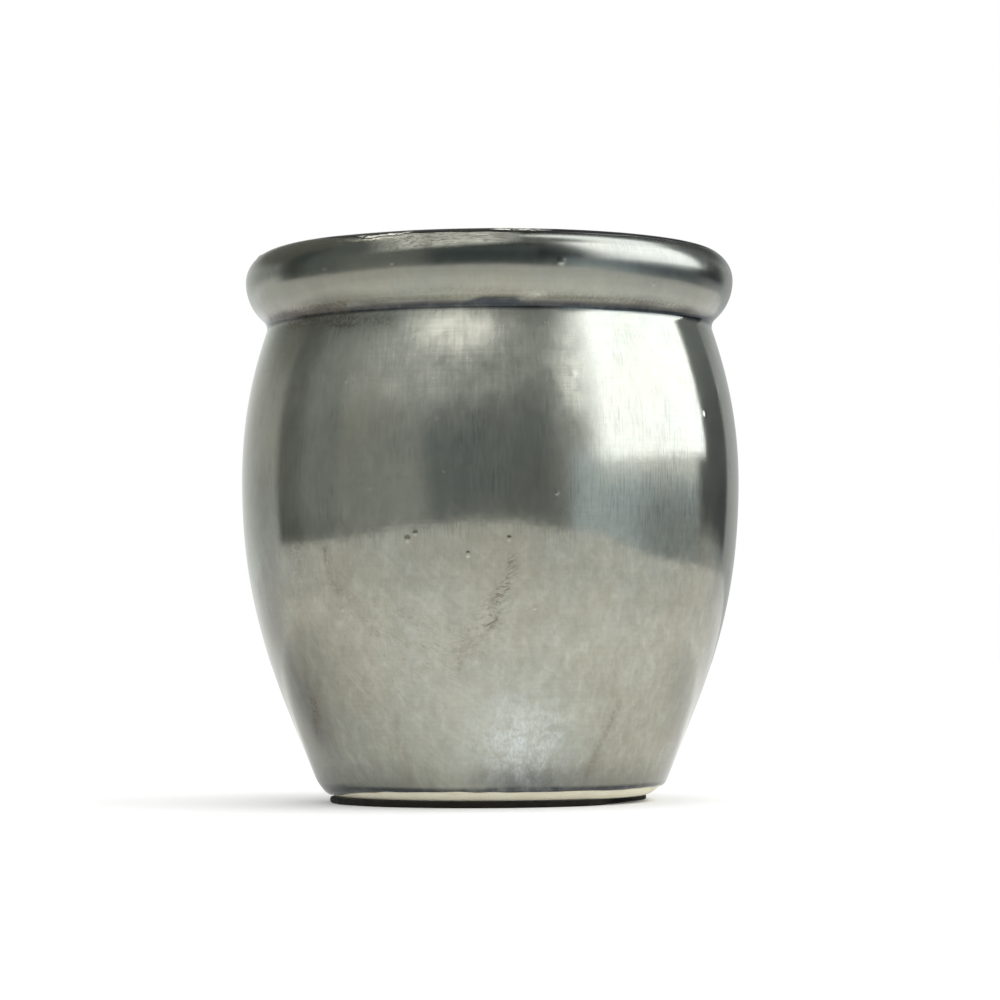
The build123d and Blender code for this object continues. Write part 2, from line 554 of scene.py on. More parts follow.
# Painted shade: darker strokes down the two sides, where the glaze mirrors shaded paper, and a band
# on the collar's right under the window's reflection
PAINTED_SHADE_STROKES = [
    (0.42, [(-62, 58), (-66, 44), (-65, 30), (-58, 16)], 7),
    (0.3, [(66, 62), (68, 44)], 4),
    (0.7, [(12, 110), (36, 108.3), (55, 107.1), (70, 107.2)], 1.5),
]
CREASE_DIRT_AND_SHADE = (99.8, 102.3)  # the heights between which dirt and painted shade lie in the crease
VEIL = -34  # the azimuth in the middle of the veil


def strokes(azimuth, height, table):
    return sum(strength * stroke(azimuth, height, *rest) for strength, *rest in table)


def patches(azimuth, height, table):
    return sum(strength * patch(azimuth, height, *rest) for strength, *rest in table)


def lip_wear_and_highlight(azimuth, height):
    """The pale stretch of the lip on the front: worn, and brightened with a painted highlight."""
    low = 111.1 + 0.045 * np.clip(azimuth, -30, 12)
    return smooth(height, low, low + 1.2) * smooth(azimuth, 9, 2) * smooth(azimuth, -31, -18)


def scuffs(azimuth, height):
    """Feathery scuffs on the front, and brown scratches in the worn lip."""
    return strokes(azimuth, height, SCUFFS) + 0.8 * lip_wear_and_highlight(azimuth, height)


def scratches(azimuth, height):
    """Where a fan of fine scratches runs down to the right."""
    return patches(azimuth, height, SCRATCHES)


def grime_and_crease_shade(azimuth, height):
    """Brown dirt in a few patches of the lower wall, and dark marks in the crease and on the
    collar's underside that are partly dirt and partly painted shade.
    """
    low, high = CREASE_DIRT_AND_SHADE
    in_crease = smooth(height, low, low + 0.8) * smooth(height, high, high - 1.3)
    along_crease = smooth(azimuth, -50, -30) * (1 - smooth(azimuth, -9, -5) * smooth(azimuth, 9, 7))
    return strokes(azimuth, height, GRIME_AND_SHADE_STROKES) + 0.5 * in_crease * along_crease


def painted_highlight_bloom(azimuth, height):
    """Painted highlight drawn as milky bloom: a pale cloud under the crease and one beside the
    window's reflection, a faint painted lift over the left shoulder, a few pale patches and the
    lip.
    """
    from_veil = turn_to(azimuth, VEIL)
    veil = smooth(from_veil, 62, 25) * smooth(from_veil, -62, -30)
    veil = veil * smooth(height, 55, 60) * smooth(height, 98, 78)
    cloud = patches(azimuth, height, PAINTED_HIGHLIGHT_CLOUDS) * smooth(height, 100.0, 98.8)
    pale = patches(azimuth, height, PAINTED_PALE_PATCHES)
    return cloud + 0.07 * veil + pale + 0.78 * lip_wear_and_highlight(azimuth, height)


def frost(azimuth, height):
    """Bluish frost, low on the front and on the back."""
    return patches(azimuth, height, FROST)


def combed(azimuth, height):
    """Where fine upright hairs show most."""
    return patches(azimuth, height, COMBED)


def painted_shade_and_pooling(azimuth, height):
    """Painted shade, drawn as darker glaze: in the crease, round the foot, down the two sides and
    in a band on the collar's right.
    """
    foot = 0.4 * smooth(height, 11, 3) * (1 - 0.8 * np.exp(-((turn_to(azimuth, -8) / 13) ** 2)))
    foot = foot + 0.9 * smooth(height, 4.6, 3.4) + 0.5 * patch(azimuth, height, (7, 5.5), 15, 3.6)
    thick = smooth(azimuth, -6, -1) * smooth(azimuth, 7.8, 6.4)
    top = 100.9 + 0.7 * thick + waves(azimuth, 0.15, 5, 24, 55)
    crease = smooth(height, 98.9, 99.5) * smooth(height, top + 0.8 - 0.5 * thick, top - 0.5)
    return foot + strokes(azimuth, height, PAINTED_SHADE_STROKES) + crease


# ---- liner glaze

def painted_lip_glints(azimuth, turn, from_edge):
    """Painted highlights on the liner's edge: pale flecks on its top and a broken pale line beside
    the runs of the glaze;
    turn is the angle in radians along the roll, and from_edge the distance in mm from the glaze's
    edge."""
    on_top = smooth(turn, radians(14), radians(19)) * smooth(turn, radians(32), radians(26))
    on_top = on_top * smooth(azimuth, 0, 2) * smooth(azimuth, 16, 10)
    by_runs = smooth(azimuth, -33, -30) * smooth(azimuth, -18, -21)
    return np.clip(on_top + 1.5 * by_runs * np.exp(-(((from_edge - 0.45) / 0.3) ** 2)), 0, 1)


# Throwing marks that show through the liner, in mm
RING_PITCH = 6.2
RING_HEIGHT = 0.13
SPIRAL_PITCH = 5.5
SPIRAL_HEIGHT = 0.22
LINER_GAP = 0.02  # between the clay and the liner's back


def build_liner(material):
    """The black glaze inside: it laps over the outer glaze in a beaded edge, and it keeps
    the throwing rings and the spiral of the clay below."""
    around = 300
    start_angle = 45
    face = inner_section(coat, start_angle)
    seam_start = radians(LINER_STARTS - start_angle) * (roll_radius + coat)
    stations = spacing(
        (seam_start, seam_start + 1.5, 0.15),
        (seam_start + 1.5, seam_start + 16, 0.5),
        (seam_start + 16, face.length - 24, 1.0),
        (face.length - 24, face.length - 0.5, 0.8),
    )
    azimuth, station = np.meshgrid(all_round(around), stations)
    seam = np.radians(seam_angle(azimuth) - start_angle) * (roll_radius + coat)
    moved = station + (seam - seam_start) * smooth(station, seam_start + 7, seam_start)
    from_edge = moved - seam
    lap = 0.08 + waves(azimuth, 0.03, 4, 22, 71)
    bead = lap * np.exp(-((np.maximum(from_edge - 0.5, 0) / 1.6) ** 2))
    bead = bead * np.sqrt(1 - (1 - np.clip(from_edge / 0.3, 0, 1)) ** 2)
    depth = collar_z - face.at(moved)[1]
    rings = RING_HEIGHT * np.sin(2 * pi * depth / RING_PITCH + np.radians(azimuth))
    rings = rings * smooth(depth, 6, 16) * smooth(station, face.length - 26, face.length - 34)
    from_axis = face.length - station
    spiral = SPIRAL_HEIGHT * np.sin(2 * pi * from_axis / SPIRAL_PITCH - np.radians(azimuth))
    spiral = spiral * smooth(from_axis, 1.5, 6) * smooth(from_axis, 30, 22)
    low = waves(azimuth, 0.02, 2, 6, 72) * np.sin(station / 9)
    relief = bead + rings + spiral + low * smooth(from_axis, 1.5, 6)
    radius, height, out, up = face.at(moved)
    front = place(azimuth, radius + relief * out, height + relief * up)
    back_rows = list(range(0, len(stations), 6)) + [len(stations) - 1]
    # The lap stands on the outer glaze, so its back isn't taken down to the clay.
    back_off = np.where(from_edge < 1.2, LINER_GAP, coat - LINER_GAP)[back_rows]
    back = place(
        azimuth[back_rows],
        radius[back_rows] - back_off * out[back_rows],
        height[back_rows] - back_off * up[back_rows],
    )
    front, back = front.reshape(-1, 3), back.reshape(-1, 3)
    first_back = len(front)
    middle = first_back + len(back)
    poles = [(0, 0, (floor_z + coat) * MM), (0, 0, (floor_z + LINER_GAP) * MM)]
    faces = grid_faces(len(stations), around)
    faces += grid_faces(len(back_rows), around, first_back, flip=True)
    faces += strip(0, first_back, around)
    faces += fan((len(stations) - 1) * around, middle, around)
    faces += fan(first_back + (len(back_rows) - 1) * around, middle + 1, around, flip=True)
    points = np.vstack((front, back, poles))
    piece = make_piece("black_liner_glaze", points, faces, material, "liner_glaze")
    edge = np.zeros(len(points))
    edge[:first_back] = smooth(from_edge, 0.45, 0.05).ravel()
    set_mask(piece, "edge", edge)
    lip_glints = np.zeros(len(points))
    lip_glints[:first_back] = painted_lip_glints(azimuth, moved / (roll_radius + coat), from_edge).ravel()
    set_mask(piece, "lip_glint", lip_glints)


# ---- clay body

# Tool marks on the clay, in mm
BASE_GROOVE_PITCH = 1.7
BASE_GROOVE_DEPTH = 0.05
TRIM_LINES = ((0.62, 0.02), (0.37, 0.015))  # the spacing and depth of the lines on the foot
TRIMMED = 5  # how far up the foot the trimming goes
FALLING_SHARE = 0.45  # of the inside's points


def build_body(material):
    """The thrown body: trimmed foot, turned base, and the wall under the glazes."""
    around = 240
    outside = outer_section(0, 0)
    neck_along = outside.rise(neck_z)
    inside = inner_section(0, 90)
    # The first part of the inside only falls, so its height gives the length along it.
    falling = slice(0, int(len(inside.points) * FALLING_SHARE))
    inside_neck = np.interp(-neck_z, -inside.points[falling, 1], inside.along[falling])
    base = [(radius, base_z) for radius in np.linspace(0.6, base_radius - 0.35, 60)]
    trimmed = spacing((0.25, TRIMMED, 0.14), (TRIMMED, neck_along, 2.2))
    section = list(base)
    normals = [(0, -1)] * len(base)
    radius, height, out, up = outside.at(trimmed)
    section += list(zip(radius, height))
    normals += list(zip(out, up))
    inner = spacing((inside_neck, inside.length - 0.6, 2.4))
    radius, height, out, up = inside.at(inner)
    section += list(zip(radius, height))
    normals += list(zip(out, up))
    section, normals = np.array(section), np.array(normals)
    azimuth = all_round(around)[None, :]
    # The foot's part of along starts at 100, which is past the end of the base's part.
    alongs = (np.linspace(0, base_radius, len(base)), 100 + trimmed, np.zeros(len(inner)))
    along = np.concatenate(alongs)[:, None]
    foot_end = 100 + TRIMMED
    is_base = (np.arange(len(section)) < len(base))[:, None]
    is_foot = ((along > 100) & (along < foot_end)).astype(float)
    groove = np.sin(2 * pi * along / BASE_GROOVE_PITCH + np.radians(azimuth)) - 1
    turned = BASE_GROOVE_DEPTH * groove * smooth(along, 1, 4)
    lines = 0
    for phase, (pitch, depth) in enumerate(TRIM_LINES):
        lines = lines + depth * np.sin(2 * pi * along / pitch + phase)
    relief = np.where(is_base, turned, lines * is_foot * smooth(along, foot_end, foot_end - 1.5))
    relief = relief + is_foot * waves(azimuth, 0.02, 3, 14, 81)
    points = place(
        azimuth + 0 * along,
        section[:, :1] + relief * normals[:, :1],
        section[:, 1:] + relief * normals[:, 1:],
    ).reshape(-1, 3)
    points, faces = capped(points, around, (0, 0, base_z * MM), (0, 0, section[-1, 1] * MM))
    make_piece("thrown_clay_body", points, faces, material, "clay_vessel")


# ---- felt pad

PAD_PARED = 3.6  # how much is pared off the pad's right side, in mm


def build_pad(material):
    """A hand-cut felt disc: a slightly uneven edge, pared away on the right, and a soft,
    fibrous rim."""
    around = 360
    azimuth = all_round(around)[None, :]
    pared = PAD_PARED * smooth(turn_to(azimuth, 62), -26, -2) * smooth(turn_to(azimuth, 62), 40, 12)
    outline = pad_radius - 0.12 - pared + waves(azimuth, 0.08, 3, 12, 91)
    outline = outline + waves(azimuth, 0.04, 40, 110, 92)
    thick = pad_top_z
    # (share of the outline, mm in from the outline, height) for each ring, from below
    inner_shares = (0.03, 0.35, 0.7, 0.93)
    rings = [(share, 0, 0.0) for share in inner_shares] + [(1, 0.28, 0.0), (1, 0.08, 0.1)]
    rings += [(1, 0.0, 0.3), (1, -0.03, 0.5), (1, -0.02, 0.75), (1, 0.02, 0.95), (1, 0.12, 1.12)]
    rings += [(1, 0.3, thick)] + [(share, 0, thick) for share in reversed(inner_shares)]
    points = []
    for number, (share, inset, height) in enumerate(rings):
        fuzz = waves(azimuth, 0.03, 60, 170, 93 + number) * (share == 1)
        radius = outline * share - inset + fuzz
        ring = place(azimuth, radius, np.full(azimuth.shape, float(height)))[0]
        ring[:, 0] += pad_middle_x * MM
        points.append(ring)
    middle_x = pad_middle_x * MM
    poles = (middle_x, 0, 0), (middle_x, 0, thick * MM)
    points, faces = capped(np.vstack(points), around, *poles)
    make_piece("felt_base_pad", points, faces, material, "felt_pad")


# ---- materials

class Nodes:
    """Short calls for building a node tree."""

    def __init__(self, tree):
        self.tree = tree
        tree.nodes.clear()

    def add(self, kind, inputs=None, **settings):
        made = self.tree.nodes.new(kind)
        for name, value in settings.items():
            setattr(made, name, value)
        for name, value in (inputs or {}).items():
            if isinstance(value, bpy.types.NodeSocket):
                self.tree.links.new(value, made.inputs[name])
            else:
                made.inputs[name].default_value = value
        return made

    def math(self, operation, first, second=0.0, clamp=False):
        inputs = {0: first, 1: second}
        return self.add("ShaderNodeMath", inputs, operation=operation, use_clamp=clamp).outputs[0]

    def times(self, first, second, clamp=False):
        return self.math("MULTIPLY", first, second, clamp)

    def remap(self, value, low, high, to_low=0.0, to_high=1.0, smooth_step=False):
        kind = "SMOOTHSTEP" if smooth_step else "LINEAR"
        inputs = {"Value": value, "From Min": low, "From Max": high}
        inputs |= {"To Min": to_low, "To Max": to_high}
        made = self.add("ShaderNodeMapRange", inputs, interpolation_type=kind, clamp=True)
        return made.outputs[0]

    def mix(self, factor, first, second, blend="MIX"):
        made = self.add("ShaderNodeMix", data_type="RGBA", blend_type=blend, clamp_factor=True)
        for socket, value in ((0, factor), (6, first), (7, second)):
            if isinstance(value, bpy.types.NodeSocket):
                self.tree.links.new(value, made.inputs[socket])
            else:
                made.inputs[socket].default_value = value if socket == 0 else (*value, 1)
        return made.outputs[2]

    def here(self):
        return self.add("ShaderNodeTexCoord").outputs["Object"]

    def parts(self, vector):
        return self.add("ShaderNodeSeparateXYZ", {0: vector}).outputs

    def stretched(self, x, y, z):
        """Object coordinates scaled on each axis."""
        return self.add("ShaderNodeMapping", {"Vector": self.here(), "Scale": (x, y, z)}).outputs[0]

    def slanted(self, angle, longer):
        """Object coordinates in which noise is drawn out along a line that falls to the right."""
        inputs = {"Vector": self.here(), "Rotation": (0, radians(angle), 0)}
        inputs["Scale"] = (longer, 1, 1)
        return self.add("ShaderNodeMapping", inputs, vector_type="TEXTURE").outputs[0]

    def unrolled(self, upright):
        """The way round the pot and the height, with the height scaled."""
        parts = self.parts(self.here())
        turn = self.math("ARCTAN2", parts[0], self.times(parts[1], -1.0))
        across = self.times(turn, belly_radius * MM)
        inputs = {0: across, 2: self.times(parts[2], upright)}
        return self.add("ShaderNodeCombineXYZ", inputs).outputs[0]

    def noise(self, size, vector=None, detail=2.0, roughness=0.5, distortion=0.0):
        """Noise whose features are about size mm across, from 0 to 1."""
        inputs = {"Vector": vector or self.here(), "Scale": 1 / (size * MM), "Detail": detail}
        inputs |= {"Roughness": roughness, "Distortion": distortion}
        return self.add("ShaderNodeTexNoise", inputs).outputs[0]

    def mask(self, name):
        return self.add("ShaderNodeAttribute", attribute_name=name).outputs["Fac"]

    def bump(self, height, depth, normal=None):
        """A bump of depth mm for a height from 0 to 1."""
        inputs = {"Height": height, "Strength": 1.0, "Distance": depth * MM}
        if normal:
            inputs["Normal"] = normal
        return self.add("ShaderNodeBump", inputs).outputs[0]


def new_material(name):
    material = bpy.data.materials.new(name)
    material.use_nodes = True
    return material, Nodes(material.node_tree)


def finished(material, n, inputs):
    """The material, with its shader made from the shader's inputs by name."""
    shader = n.add("ShaderNodeBsdfPrincipled", inputs)
    n.add("ShaderNodeOutputMaterial", {"Surface": shader.outputs[0]})
    return material


def metallic_glaze():
    material, n = new_material("metallic_glaze")
    height = n.parts(n.here())[2]
    on_collar = n.remap(height, (neck_z + 0.5) * MM, (neck_z + 3) * MM)
    low_down = n.remap(height, 62 * MM, 50 * MM)
    cloud = n.noise(15, detail=4, roughness=0.55)
    warm_cloud = n.noise(24, n.stretched(1, 1, 0.8), detail=4, roughness=0.6)
    mottle = n.noise(2.6, detail=5, roughness=0.6, distortion=0.3)
    hair = n.noise(0.36, n.unrolled(0.07), detail=3, roughness=0.6)
    column = n.noise(2.2, n.unrolled(0.12), detail=3)
    line = n.noise(0.45, n.stretched(0.03, 0.03, 1), detail=3, roughness=0.6)
    grain = n.noise(0.3, detail=2)
    brushed = n.noise(1.1, n.slanted(38, 7), detail=4, roughness=0.62, distortion=0.3)

    silver, steel, brown = (0.385, 0.390, 0.325), (0.335, 0.350, 0.308), (0.355, 0.342, 0.270)
    colour = n.mix(n.remap(cloud, 0.35, 0.68), silver, steel)
    colour = n.mix(n.remap(warm_cloud, 0.42, 0.7, 0.0, 0.8), colour, brown)
    colour = n.mix(n.remap(mottle, 0.3, 0.7, 0.0, 0.2), colour, (0.46, 0.46, 0.38))
    tufts = n.remap(n.noise(8, detail=3, roughness=0.6), 0.45, 0.62, 0.08, 0.42)
    tufts = n.times(tufts, n.remap(low_down, 0, 1, 1.0, 0.35))
    tufts = n.times(tufts, n.remap(on_collar, 0, 1, 1.0, 0.3))
    tufts = n.math("ADD", tufts, n.times(n.mask("combed"), 0.3))
    colour = n.mix(n.times(n.remap(hair, 0.45, 0.68), tufts), colour, (0.13, 0.14, 0.135))
    colour = n.mix(n.remap(line, 0.35, 0.7, 0.0, 0.14), colour, (0.20, 0.20, 0.165))
    spread = n.remap(low_down, 0, 1, 0.4, 1.0)
    dapple = n.noise(3.2, n.unrolled(0.75), detail=5, roughness=0.68, distortion=0.5)
    dark_spots = n.times(n.remap(dapple, 0.5, 0.7, 0.0, 0.36), spread)
    colour = n.mix(dark_spots, colour, (0.22, 0.22, 0.18))
    pale_spots = n.times(n.remap(dapple, 0.49, 0.3, 0.0, 0.42), spread)
    colour = n.mix(pale_spots, colour, (0.50, 0.51, 0.44))
    stains = n.noise(9, n.unrolled(0.6), detail=5, roughness=0.66)
    stained = n.times(n.remap(stains, 0.52, 0.7, 0.0, 0.4), low_down)
    colour = n.mix(stained, colour, (0.25, 0.225, 0.165))
    flecks = n.noise(0.6, n.unrolled(0.6), detail=3, roughness=0.7)
    colour = n.mix(n.remap(flecks, 0.5, 0.72, 0.0, 0.16), colour, (0.18, 0.175, 0.14))
    strokes = n.times(n.remap(brushed, 0.42, 0.7, 0.0, 0.17), low_down)
    colour = n.mix(strokes, colour, (0.19, 0.18, 0.135))
    fine_lines = n.noise(0.3, n.slanted(22, 22), detail=3, roughness=0.65, distortion=0.25)
    broken = n.remap(n.noise(3.0, detail=3, roughness=0.6), 0.42, 0.6)
    scratch = n.times(n.mask("scratch"), n.remap(fine_lines, 0.52, 0.66, 0.0, 0.55))
    colour = n.mix(n.times(scratch, broken), colour, (0.15, 0.135, 0.10))

    # painted shade: the pool mask darkens the glaze in the crease, round the foot, down both sides
    # and on the collar's right
    pool = n.times(n.mask("pool"), n.remap(mottle, 0.25, 0.55, 0.75, 1.0))
    colour = n.mix(pool, colour, (0.048, 0.054, 0.060))
    rime = n.times(n.remap(flecks, 0.35, 0.65, 0.2, 0.52), n.remap(mottle, 0.62, 0.4, 0.5, 1.7))
    colour = n.mix(n.times(rime, n.mask("frost"), clamp=True), colour, (0.66, 0.72, 0.72))
    weave = n.noise(0.8, n.unrolled(0.15), detail=2)
    cloth = n.times(n.remap(weave, 0.35, 0.65, 0.84, 1.02), n.remap(line, 0.35, 0.65, 0.88, 1.0))
    wisps = n.remap(n.noise(7, detail=4, roughness=0.6, distortion=0.4), 0.35, 0.6, 0.72, 1.2)
    # painted highlight: the bloom mask pales, dulls and roughens the glaze where it should shine
    painted_haze = n.times(n.times(n.mask("painted_highlight_bloom"), cloth), wisps, clamp=True)
    colour = n.mix(painted_haze, colour, (0.68, 0.68, 0.58))
    # painted highlight: a pale glint under each blister
    colour = n.mix(n.times(n.mask("painted_glint"), 0.45), colour, (0.70, 0.70, 0.62))
    barbs = n.noise(0.75, n.slanted(-24, 3), detail=4, roughness=0.66, distortion=1.1)
    lip_lines = n.noise(0.4, n.slanted(4, 8), detail=3, roughness=0.6, distortion=0.2)
    barbs = n.add("ShaderNodeMix", {0: on_collar, 2: barbs, 3: lip_lines}).outputs[0]
    scuff = n.times(n.mask("scuff"), n.remap(barbs, 0.47, 0.6), clamp=True)
    dirt = n.noise(0.7, detail=6, roughness=0.75)
    # dark brown marks: real scuffs and dirt, with painted shade in the crease and under the collar
    dirt_and_shade_mark = n.times(n.mask("grime_and_crease_shade"), n.remap(dirt, 0.36, 0.56), clamp=True)
    marks = n.math("MAXIMUM", scuff, dirt_and_shade_mark)
    colour = n.mix(n.times(marks, 0.78), colour, (0.13, 0.105, 0.075))

    rough = n.remap(hair, 0.3, 0.72, 0.09, 0.125)
    rough = n.math("ADD", rough, n.remap(column, 0.35, 0.65, -0.01, 0.02))
    rough = n.math("ADD", rough, n.remap(on_collar, 0, 1, 0.0, 0.11))
    rough = n.math("ADD", rough, n.times(painted_haze, 0.3))
    rough = n.math("ADD", rough, n.times(marks, 0.25))
    metal = n.remap(on_collar, 0, 1, 0.885, 0.98)
    metal = n.math("SUBTRACT", metal, n.times(painted_haze, 0.7), clamp=True)
    swell = n.noise(2.6, detail=1.5, roughness=0.5, distortion=0.3)
    fine = n.math("ADD", n.times(swell, 0.94), n.times(grain, 0.06))
    relief = n.bump(fine, 0.010)
    relief = n.bump(hair, 0.0006, relief)
    relief = n.bump(line, 0.0012, relief)
    colour = n.mix(n.times(on_collar, 0.2), colour, (0.12, 0.12, 0.10))
    inputs = {"Base Color": colour, "Metallic": metal, "Roughness": rough, "Normal": relief}
    inputs |= {"Coat Weight": 0.15, "Coat Roughness": 0.08, "Coat IOR": 1.5}
    return finished(material, n, inputs)


def black_glaze():
    material, n = new_material("black_liner_glaze")
    cloud = n.noise(12, detail=3)
    speck = n.noise(0.6, detail=3, roughness=0.6)
    colour = n.mix(n.remap(cloud, 0.4, 0.7, 0, 0.8), (0.010, 0.010, 0.011), (0.022, 0.019, 0.015))
    colour = n.mix(n.remap(speck, 0.68, 0.76, 0, 0.5), colour, (0.09, 0.08, 0.06))
    edge = n.times(n.mask("edge"), n.remap(n.noise(1.5, detail=3), 0.35, 0.6, 0.0, 0.4))
    colour = n.mix(edge, colour, (0.025, 0.02, 0.013))
    dashes = n.remap(n.noise(0.5, n.stretched(0.3, 1, 1.5), detail=3, roughness=0.6), 0.46, 0.5)
    # painted highlight: pale glints on the liner's edge, in the colour of the clay
    colour = n.mix(n.times(n.mask("lip_glint"), dashes), colour, (0.80, 0.78, 0.69))
    rough = n.remap(n.noise(3, detail=3), 0.35, 0.65, 0.05, 0.14)
    relief = n.bump(n.noise(4, detail=2), 0.02)
    relief = n.bump(n.noise(0.7, detail=2), 0.003, relief)
    inputs = {"Base Color": colour, "Roughness": rough, "IOR": 1.58, "Normal": relief}
    return finished(material, n, inputs)


def bare_clay():
    material, n = new_material("bare_clay")
    cloud = n.noise(7, detail=4)
    grog = n.noise(0.45, detail=2)
    lines = n.noise(0.35, n.stretched(0.04, 0.04, 1), detail=3)
    colour = n.mix(n.remap(cloud, 0.35, 0.65), (0.80, 0.775, 0.62), (0.72, 0.685, 0.53))
    colour = n.mix(n.remap(grog, 0.62, 0.72, 0, 0.6), colour, (0.50, 0.43, 0.30))
    colour = n.mix(n.remap(lines, 0.55, 0.7, 0, 0.25), colour, (0.6, 0.56, 0.42))
    relief = n.bump(grog, 0.02)
    relief = n.bump(lines, 0.012, relief)
    rough = n.remap(cloud, 0.3, 0.7, 0.78, 0.92)
    return finished(material, n, {"Base Color": colour, "Roughness": rough, "Normal": relief})


def felt():
    material, n = new_material("felt")
    fibre = n.noise(0.35, detail=4, roughness=0.7, distortion=2.0)
    cloud = n.noise(6, detail=3)
    colour = n.mix(n.remap(fibre, 0.35, 0.7), (0.007, 0.0065, 0.0045), (0.020, 0.018, 0.013))
    colour = n.mix(n.remap(cloud, 0.4, 0.7, 0, 0.4), colour, (0.016, 0.014, 0.010))
    relief = n.bump(fibre, 0.12)
    rough = n.remap(fibre, 0.3, 0.7, 0.88, 1.0)
    inputs = {"Base Color": colour, "Roughness": rough, "Normal": relief}
    return finished(material, n, inputs | {"Specular IOR Level": 0.2, "Sheen Weight": 0.04})


def dried_adhesive():
    material, n = new_material("dried_adhesive")
    film = n.noise(2.5, detail=4, roughness=0.6)
    colour = n.mix(n.remap(film, 0.35, 0.65), (0.035, 0.032, 0.024), (0.07, 0.062, 0.045))
    rough = n.remap(film, 0.3, 0.7, 0.3, 0.55)
    relief = n.bump(film, 0.03)
    return finished(material, n, {"Base Color": colour, "Roughness": rough, "Normal": relief})


# ---- studio

# What the glaze mirrors, as cards round the pot, each over the ones before: azimuths from
# and to, heights above the horizon from and to, how softly each of those four edges fades,
# all in degrees, and the card's brightness.
BACKDROP = (0.45, 0.47, 0.47)
CARDS = [
    ("backdrop_left", (-200, -149), (-90, 90), (0, 23, 1, 1), (0.78, 0.80, 0.79)),
    ("backdrop_right", (156, 200), (-90, 90), (18, 0, 1, 1), (0.54, 0.56, 0.56)),
    ("behind_left", (-200, -106), (16, 84), (0, 8, 6, 6), (0.18, 0.185, 0.17)),
    ("behind_right", (140, 200), (16, 84), (8, 0, 6, 6), (0.08, 0.085, 0.085)),
    ("sweep_left", (-170, -112), (-40, -1), (6, 3, 1, 4), (0.90, 0.92, 0.92)),
    ("room", (-114, 141), (-90, 64), (5, 1.2, 1, 12), (0.190, 0.220, 0.230)),
    ("overhead", (-40, 150), (62, 90), (10, 10, 7, 1), (0.24, 0.26, 0.26)),
    ("cool_front", (-33, 29), (-30, 34), (3, 7, 4, 12), (0.066, 0.092, 0.106)),
    ("light_wall", (-74, -30), (-30, 30), (1.5, 6, 2, 8), (0.275, 0.297, 0.298)),
    ("left_jamb", (-114, -97), (-12, 40), (3.5, 5, 3, 12), (0.066, 0.080, 0.080)),
    ("grey_right", (38, 109), (-40, 7), (6, 5, 2, 2), (0.64, 0.75, 0.86)),
    ("under_window", (50, 109), (2, 7), (10, 4, 2.5, 1), (1.25, 1.32, 1.36)),
    ("grey_low_right", (74, 113), (-40, 0), (14, 5, 2, 3), (0.33, 0.385, 0.42)),
    ("right_jamb_top", (117, 140.5), (12, 60), (2, 0.6, 6, 10), (0.14, 0.165, 0.18)),
    ("right_jamb", (113, 140.5), (-3, 14), (3, 0.6, 1.5, 6), (0.030, 0.042, 0.050)),
    ("sweep_right", (114, 165), (-12, -3), (6, 8, 2, 1.5), (0.50, 0.53, 0.55)),
    ("upper_front", (-60, 42), (40, 58), (20, 10, 8, 5), (0.065, 0.08, 0.088)),
    ("ceiling", (-155, -24), (62, 84), (12, 10, 4, 6), (0.22, 0.225, 0.205)),
    ("lamp", (-137, -125), (59, 66), (1, 1, 1, 1), (10.0, 9.9, 9.6)),
    ("window", (50, 117.5), (5.4, 58), (9, 0.7, 0.8, 4), (2.95, 3.05, 3.3)),
    ("window_top", (86, 130), (44, 82), (12, 2, 7, 4), (2.6, 2.7, 2.9)),
]


# The corners of the sheet of paper under the pot, in metres
PAPER = [
    (0.35, -0.31),
    (0.345, -0.10),
    (0.39, 0.06),
    (0.48, 0.60),
    (-0.80, 0.60),
    (-0.66, 0.16),
    (-0.50, -0.13),
    (-0.36, -0.43),
    (-0.10, -0.60),
    (0.10, -0.58),
]

# A painted shadow on the paper, seen only in the glaze: how much dimmer it is, as a centre in
# metres, the distances from it where the change starts and ends, and the shade at each.
PAPER_SHADES = [
    ((0.0, 0.0), 0.06, 0.26, (0.0, 0.32)),
    ((-0.11, 0.03), 0.015, 0.125, (0.46, 0.0)),
    ((0.10, 0.04), 0.02, 0.08, (0.30, 0.0)),
]


def direction(n):
    """Azimuth and height above the horizon of the direction looked at, in degrees."""
    parts = n.parts(n.add("ShaderNodeTexCoord").outputs["Generated"])
    back = n.times(parts[1], -1.0)
    azimuth = n.times(n.math("ARCTAN2", parts[0], back), degrees(1))
    height = n.times(n.math("ARCSINE", parts[2]), degrees(1))
    return azimuth, height


def card_cover(n, azimuth, height, sides, levels, soft):
    """1 on a card and 0 off it. An edge whose softness is 0 is left out."""
    cover = None
    for value, edge, fade, beyond in (
        (azimuth, sides[0], soft[0], 1.0),
        (azimuth, sides[1], soft[1], 0.0),
        (height, levels[0], soft[2], 1.0),
        (height, levels[1], soft[3], 0.0),
    ):
        if fade:
            step = n.remap(value, edge - fade, edge + fade, 1.0 - beyond, beyond, smooth_step=True)
            cover = step if cover is None else n.times(cover, step)
    return cover


def studio_world():
    """White all round for the camera and for soft light; cards for what the glaze mirrors."""
    world = bpy.data.worlds.new("studio")
    world.use_nodes = True
    bpy.context.scene.world = world
    world.cycles.sampling_method = "NONE"
    n = Nodes(world.node_tree)
    azimuth, height = direction(n)
    colour = BACKDROP
    for _, sides, levels, soft, shade in CARDS:
        colour = n.mix(card_cover(n, azimuth, height, sides, levels, soft), colour, shade)
    rays = n.add("ShaderNodeLightPath").outputs
    fill = n.mix(rays["Is Diffuse Ray"], (1.0, 1.0, 1.0), (1.28, 1.28, 1.28))
    colour = n.mix(rays["Is Glossy Ray"], fill, colour)
    background = n.add("ShaderNodeBackground", {"Color": colour, "Strength": 1.0})
    n.add("ShaderNodeOutputWorld", {"Surface": background.outputs[0]})


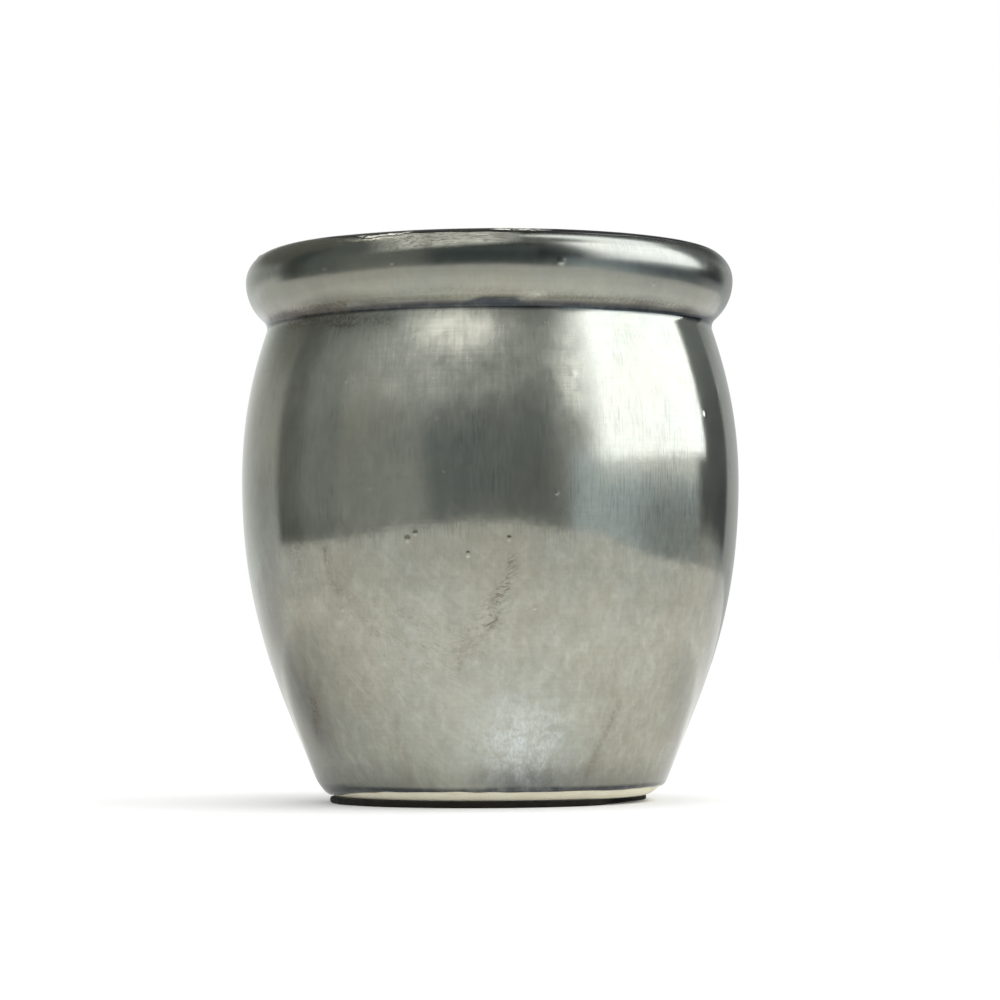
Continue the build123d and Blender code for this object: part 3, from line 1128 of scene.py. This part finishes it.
def flat_sheet(name, outline):
    """A flat piece of the floor; the outline is in metres, anticlockwise."""
    mesh = bpy.data.meshes.new(name)
    mesh.from_pydata([(x, y, 0) for x, y in outline], [], [list(range(len(outline)))])
    made = bpy.data.objects.new(name, mesh)
    bpy.context.scene.collection.objects.link(made)
    return made


def studio_floor():
    """White paper under the pot, with a painted shadow so that the glaze mirrors it a little dimmer
    far off and beside the pot, and a white floor beyond it."""
    material, n = new_material("white_paper")
    tooth = n.noise(1.5, detail=3)
    colour = n.mix(n.remap(tooth, 0.3, 0.7), (0.93, 0.93, 0.925), (0.95, 0.95, 0.945))
    shade = 0.0
    for centre, near, far, depth in PAPER_SHADES:
        gap = n.add("ShaderNodeVectorMath", {0: n.here(), 1: (*centre, 0)}, operation="DISTANCE")
        dimmer = n.remap(gap.outputs["Value"], near, far, *depth, smooth_step=True)
        shade = n.math("MAXIMUM", shade, dimmer)
    mirrored = n.add("ShaderNodeLightPath").outputs["Is Glossy Ray"]
    colour = n.mix(n.times(shade, mirrored), colour, (0.0, 0.0, 0.0))
    finished(material, n, {"Base Color": colour, "Roughness": 0.9, "Specular IOR Level": 0.1})
    paper = flat_sheet("paper", PAPER)
    beyond = flat_sheet("floor", [(-6, -6), (6, -6), (6, 6), (-6, 6)])
    beyond.location.z = -0.0004
    beyond.visible_glossy = False
    for part in (paper, beyond):
        part.data.materials.append(material)


WINDOW_AZIMUTH, WINDOW_RISE = 80, 36  # degrees
WINDOW_AWAY = 0.9  # metres
WINDOW_SIZE = (0.9, 0.8)
WINDOW_POWER = 2.6


def window_light():
    """The soft light of the window on the right, for shading only."""
    light = bpy.data.lights.new("window_light", "AREA")
    light.shape = "RECTANGLE"
    light.size, light.size_y = WINDOW_SIZE
    light.energy = WINDOW_POWER
    made = bpy.data.objects.new("window_light", light)
    bpy.context.scene.collection.objects.link(made)
    turn, rise = radians(WINDOW_AZIMUTH), radians(WINDOW_RISE)
    level_away = WINDOW_AWAY * cos(rise)
    made.location = (level_away * sin(turn), -level_away * cos(turn), WINDOW_AWAY * sin(rise))
    made.rotation_euler = (pi / 2 - rise, 0, turn)
    made.visible_glossy = False


CAMERA_PLACE = (0, -0.720, 0.032)  # metres
CAMERA_TILT, CAMERA_TURN, CAMERA_ROLL = 2.49, -0.16, -0.35  # degrees
SENSOR, LENS = 36, 122.9  # millimetres


def camera():
    """At the height of the pot's lower wall, looking very slightly up."""
    data = bpy.data.cameras.new("camera")
    data.sensor_width = SENSOR
    data.lens = LENS
    made = bpy.data.objects.new("camera", data)
    bpy.context.scene.collection.objects.link(made)
    made.matrix_world = (
        Matrix.Translation(CAMERA_PLACE)
        @ Matrix.Rotation(radians(CAMERA_TURN), 4, "Z")
        @ Matrix.Rotation(pi / 2 + radians(CAMERA_TILT), 4, "X")
        @ Matrix.Rotation(radians(CAMERA_ROLL), 4, "Z")
    )
    bpy.context.scene.camera = made


# ---- assembly

clay = bare_clay()
build_outer_glaze(metallic_glaze())
build_liner(black_glaze())
build_body(clay)
build_pad(felt())
for name, material in (("rolled_collar", clay), ("adhesive_film", dried_adhesive())):
    for material_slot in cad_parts[name].material_slots:
        material_slot.material = material

studio_world()
studio_floor()
window_light()
camera()
bpy.context.scene.view_settings.view_transform = "Standard"
